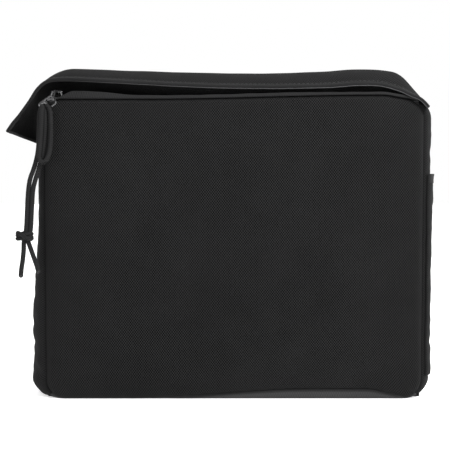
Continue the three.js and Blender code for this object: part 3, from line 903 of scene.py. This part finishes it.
# For the axis that a lining is thin along: how far it hangs slack, how soon it does so from its edge, as a
# share of its width, and the size of its bumps.
SLACK = {X: (1.0, 0.2, 35), Y: (1.2, 0.1, 45), Z: (0.8, 0.2, 35)}


def lining(name, node, axis, inward, nu=60, nv=40):
    """A lining sheet in the place of its CAD node, a little slack. axis is the one it is thin along."""
    low, high = edges_mm(node)
    first, second = [k for k in (X, Y, Z) if k != axis]
    most, rim_share, bump = SLACK[axis]

    def face(u, v):
        p = [0, 0, 0]
        p[first] = mix(low[first], high[first], u)
        p[second] = mix(low[second], high[second], v)
        slack = most * smooth(min(u, 1 - u, v, 1 - v), 0, rim_share) * abs(wave(*p, bump, 2.0))
        p[axis] = (high[axis] if inward > 0 else low[axis]) + inward * slack
        return p

    made = surface(name, nu, nv, face, 0.7, flip=(axis == Y) == (inward > 0))
    finish_piece(made, "lining_cloth", "lid" if node.startswith("lid") else "pouch", [node])


lining("front_lining_cloth", "front_lining", Y, 1)
lining("back_lining_cloth", "back_lining", Y, -1)
lining("bottom_lining_cloth", "bottom_lining", Z, 1, 60, 12)
lining("left_lining_cloth", "left_lining", X, 1, 14, 40)
lining("right_lining_cloth", "right_lining", X, -1, 14, 40)
lining("lid_lining_cloth", "lid_lining", Z, -1, 60, 12)


def pad(name, node):
    """A foam pad, cut smaller than its CAD node at the sides, the top and the bottom."""
    low, high = edges_mm(node)

    def face(u, v):
        x = mix(low.x + 8, high.x - 8, bunched(u))
        y = high.y + 0.2 * wave(u * 300, 0, v * 300, 20, 1.1)
        return x, y, mix(low.z + 12, high.z - 4, bunched(v))

    made = surface(name, 60, 48, face, (high.y - low.y) * 0.95, flip=True)
    finish_piece(made, "foam_padding", "pouch", [node])


pad("front_foam", "front_pad")
pad("back_foam", "back_pad")

# ---------------------------------------------------------------- cord pull
CORD = 4.4  # diameter
CORD_Y = -48.0  # about where the cord hangs, in front of the panel
LEAN = math.radians(-55)
TAB_EYE = 11.2  # from the pull's pivot to the eye that the cord goes through
swing = next(joint for joint in frame["joints"] if joint["name"] == "pull_swing")
pivot = Vector(swing["pos_m"]) / MM
EYE = Vector((pivot.x + TAB_EYE * math.sin(LEAN), CORD_Y + 4, pivot.z - TAB_EYE * math.cos(LEAN)))
CORD_TOP = EYE.z - 5


def rope(name, points, nodes, radius=CORD / 2):
    """A run of cord along a smooth line through points. Returns it and its length in metres."""
    data = bpy.data.curves.new(name, "CURVE")
    data.dimensions = "3D"
    data.bevel_depth = radius * MM
    data.bevel_resolution = 4
    data.resolution_u = 4
    data.use_fill_caps = True
    fine = even_line(points, max(18, 2 * len(points)))
    line = data.splines.new("POLY")
    line.points.add(len(fine) - 1)
    for p, q in zip(line.points, fine):
        p.co = (*(q * MM), 1)
    line.use_smooth = True
    obj = bpy.data.objects.new(name, data)
    bpy.context.scene.collection.objects.link(obj)
    finish_piece(obj, "cord_braid", "pull", nodes)
    return obj, sum((b - a).length for a, b in zip(fine, fine[1:])) * MM


left_strand, left_length = rope(
    "left_strand_braid",
    [
        (EYE.x - 2, CORD_Y + 3, EYE.z - 1),
        (EYE.x - 3.4, CORD_Y + 1, CORD_TOP),
        (-180.3, CORD_Y, 254),
        (-181, CORD_Y, 240),
        (-182.6, CORD_Y, 229),
        (-185.6, CORD_Y, 218.5),
        (-189, CORD_Y, 209.5),
        (-190.5, CORD_Y - 1, 200),
        (-191.3, CORD_Y - 1.5, 189),
        (-191.9, CORD_Y - 2.5, 176),
        (-192.5, CORD_Y - 3, 163.8),
        (-193.4, CORD_Y - 4, 157),
    ],
    ["cord_strand_left"],
)
right_strand, right_length = rope(
    "right_strand_braid",
    [
        (EYE.x + 0.4, CORD_Y + 3, EYE.z - 1),
        (EYE.x + 1.2, CORD_Y + 1, CORD_TOP),
        (-175.2, CORD_Y, 254),
        (-176.3, CORD_Y, 241),
        (-178, CORD_Y, 229),
        (-180.9, CORD_Y, 218.5),
        (-184.2, CORD_Y, 208.5),
        (-186.3, CORD_Y - 1, 199.5),
        (-187.1, CORD_Y - 1.5, 189),
        (-187.7, CORD_Y - 2.5, 176),
        (-188.3, CORD_Y - 3, 163.8),
        (-189.6, CORD_Y - 4, 157),
    ],
    ["cord_strand_right"],
)
bight, bight_length = rope(
    "bight_braid",
    [
        (EYE.x - 0.8, CORD_Y - 1, EYE.z),
        (EYE.x - 1, CORD_Y - 3.6, CORD_TOP),
        (-177.4, CORD_Y - 4.4, 262),
        (-178.2, CORD_Y - 4.4, 250),
        (-179, CORD_Y - 4.4, 238),
        (-180.2, CORD_Y - 4.6, 230),
        (-178, CORD_Y - 4.8, 224.6),
        (-174.4, CORD_Y - 4.6, 224.8),
        (-171.2, CORD_Y - 3, 231),
        (-169.8, CORD_Y - 1.4, 241),
        (-169.4, CORD_Y - 0.6, 254),
        (EYE.x + 6.2, CORD_Y, CORD_TOP),
        (EYE.x + 2.4, CORD_Y + 2, EYE.z + 0.5),
    ],
    ["cord_bight"],
)
left_tail, left_tail_length = rope(
    "left_tail_braid",
    [
        (-194.4, CORD_Y - 4, 154),
        (-194.8, CORD_Y - 4, 149.5),
        (-195, CORD_Y - 4, 143),
        (-196, CORD_Y - 4, 133.5),
        (-197.2, CORD_Y - 4, 126),
        (-197.8, CORD_Y - 4, 119.5),
    ],
    ["cord_tail_left"],
)
right_tail, right_tail_length = rope(
    "right_tail_braid",
    [
        (-191.8, CORD_Y - 4, 154),
        (-190, CORD_Y - 4, 149),
        (-187.9, CORD_Y - 4, 142.8),
        (-185.2, CORD_Y - 4, 135),
        (-183, CORD_Y - 4, 128.6),
        (-181.7, CORD_Y - 4, 123.3),
    ],
    ["cord_tail_right"],
)

knot_low, knot_high = edges_mm("pull_knot")
knot_middle = (knot_low + knot_high) / 2
TURNS = 2.1
wraps = []
for i in range(61):
    t = i / 60
    angle = 2 * math.pi * (TURNS * t + 0.15)
    c, s = math.cos(angle), math.sin(angle)
    wraps.append(knot_middle + Vector((6.7 * c, 3.2 * s, mix(3.3, -3.3, t) + 1.5 * c)))
knot, _ = rope("knot_wraps", wraps, ["pull_knot"], 1.8)
band = [
    (-6.8, 0.5, 2.6),
    (-5.2, -3.4, 3.4),
    (-1.5, -5.3, 1.4),
    (2.5, -5.2, -1.4),
    (6, -3, -3),
    (6.9, 0.5, -2.2),
]
knot_band, _ = rope("knot_band", [knot_middle + Vector(p) for p in band], [], 1.7)


def tip(name, end, way):
    """The melted end of a cord: a small uneven bead."""
    way = Vector(way).normalized()
    side = way.cross(Vector((0, 1, 0))).normalized()
    other = way.cross(side)
    centres = [Vector(end) + way * d for d in (-1.6, -0.8, 0.0, 0.9, 1.7, 2.2)]
    radii = (2.0, 2.15, 2.3, 2.1, 1.4, 0.5)

    def section(i, angle):
        lump = 1 + 0.12 * wave(3 * math.cos(angle), 3 * math.sin(angle), 2 * i, 2.0, 4.0)
        return (side * math.cos(angle) + other * math.sin(angle)) * radii[i] * lump

    return finish_piece(sweep(name, centres, 12, section), "zip_coil", "pull")


left_tip = tip("left_melted_tip", (-197.8, CORD_Y - 4, 119.5), (-0.08, 0, -1))
right_tip = tip("right_melted_tip", (-181.7, CORD_Y - 4, 123.3), (0.25, 0, -1))


# ---------------------------------------------------------------- zip metal
def rounded_metal(node, body, radius):
    """A stamped or cast piece: the CAD shape with its edges rolled over."""
    source = bpy.data.objects[node]
    made = bpy.data.objects.new(node + "_cast", source.data.copy())
    made.matrix_world = source.matrix_world.copy()
    bpy.context.scene.collection.objects.link(made)
    made.data.materials.clear()
    tool = bmesh.new()
    tool.from_mesh(made.data)
    bmesh.ops.remove_doubles(tool, verts=tool.verts, dist=2e-5)
    bmesh.ops.dissolve_limit(tool, angle_limit=math.radians(4), verts=tool.verts, edges=tool.edges)
    sharp = [e for e in tool.edges if len(e.link_faces) == 2 and e.calc_face_angle(0) > math.radians(35)]
    bmesh.ops.bevel(
        tool, geom=sharp, offset=radius * MM, offset_type="OFFSET", segments=3, profile=0.5, affect="EDGES",
        clamp_overlap=True,
    )
    bmesh.ops.triangulate(tool, faces=tool.faces)
    tool.to_mesh(made.data)
    tool.free()
    for face in made.data.polygons:
        face.use_smooth = True
    finish_piece(made, "zip_metal", body, [node])


rounded_metal("slider_body", "slider", 0.45)
rounded_metal("slider_bail", "slider", 0.5)
rounded_metal("slider_link", "slider", 0.3)
rounded_metal("pull_tab", "pull", 0.4)

# ---------------------------------------------------------------- CAD nodes that stay
for entry in frame["record"]["subparts"]:
    node = bpy.data.objects.get(entry["node"])
    if node is None or node.hide_render:
        continue
    node.data.materials.clear()
    node.data.materials.append(MATERIALS[entry["material_slot"]])

# ---------------------------------------------------------------- floor and light
floor_material, _, floor_bsdf = shader("floor")
floor_bsdf.inputs["Base Color"].default_value = (0.9, 0.9, 0.9, 1)
floor_bsdf.inputs["Roughness"].default_value = 0.9
floor_bsdf.inputs["Emission Color"].default_value = (1, 1, 1, 1)
floor_bsdf.inputs["Emission Strength"].default_value = 0.55
FAR = 6000
floor_corners = [(-FAR, -FAR, 0), (FAR, -FAR, 0), (FAR, FAR, 0), (-FAR, FAR, 0)]
floor = new_object("floor", floor_corners, [(0, 1, 2, 3)])
floor.data.materials.append(floor_material)

world = bpy.data.worlds.new("studio")
world.use_nodes = True
world.node_tree.nodes["Background"].inputs[0].default_value = (1, 1, 1, 1)
world.node_tree.nodes["Background"].inputs[1].default_value = 1.0
bpy.context.scene.world = world
bpy.context.scene.view_settings.view_transform = "Standard"


LIT_POINT = Vector((0, 0, 0.14))


def softbox(name, place, size, power):
    """A soft lamp that faces the middle of the pouch. Metres and watts."""
    data = bpy.data.lights.new(name, "AREA")
    data.shape = "RECTANGLE"
    data.size = size[0]
    data.size_y = size[1]
    data.energy = power
    lamp = bpy.data.objects.new(name, data)
    lamp.location = place
    lamp.rotation_mode = "QUATERNION"
    lamp.rotation_quaternion = (LIT_POINT - Vector(place)).to_track_quat("-Z", "Y")
    bpy.context.scene.collection.objects.link(lamp)


softbox("key", (0.55, -0.6, 0.85), (0.45, 0.45), 20)
softbox("fill", (-0.5, -1.3, 0.12), (0.8, 0.2), 5)
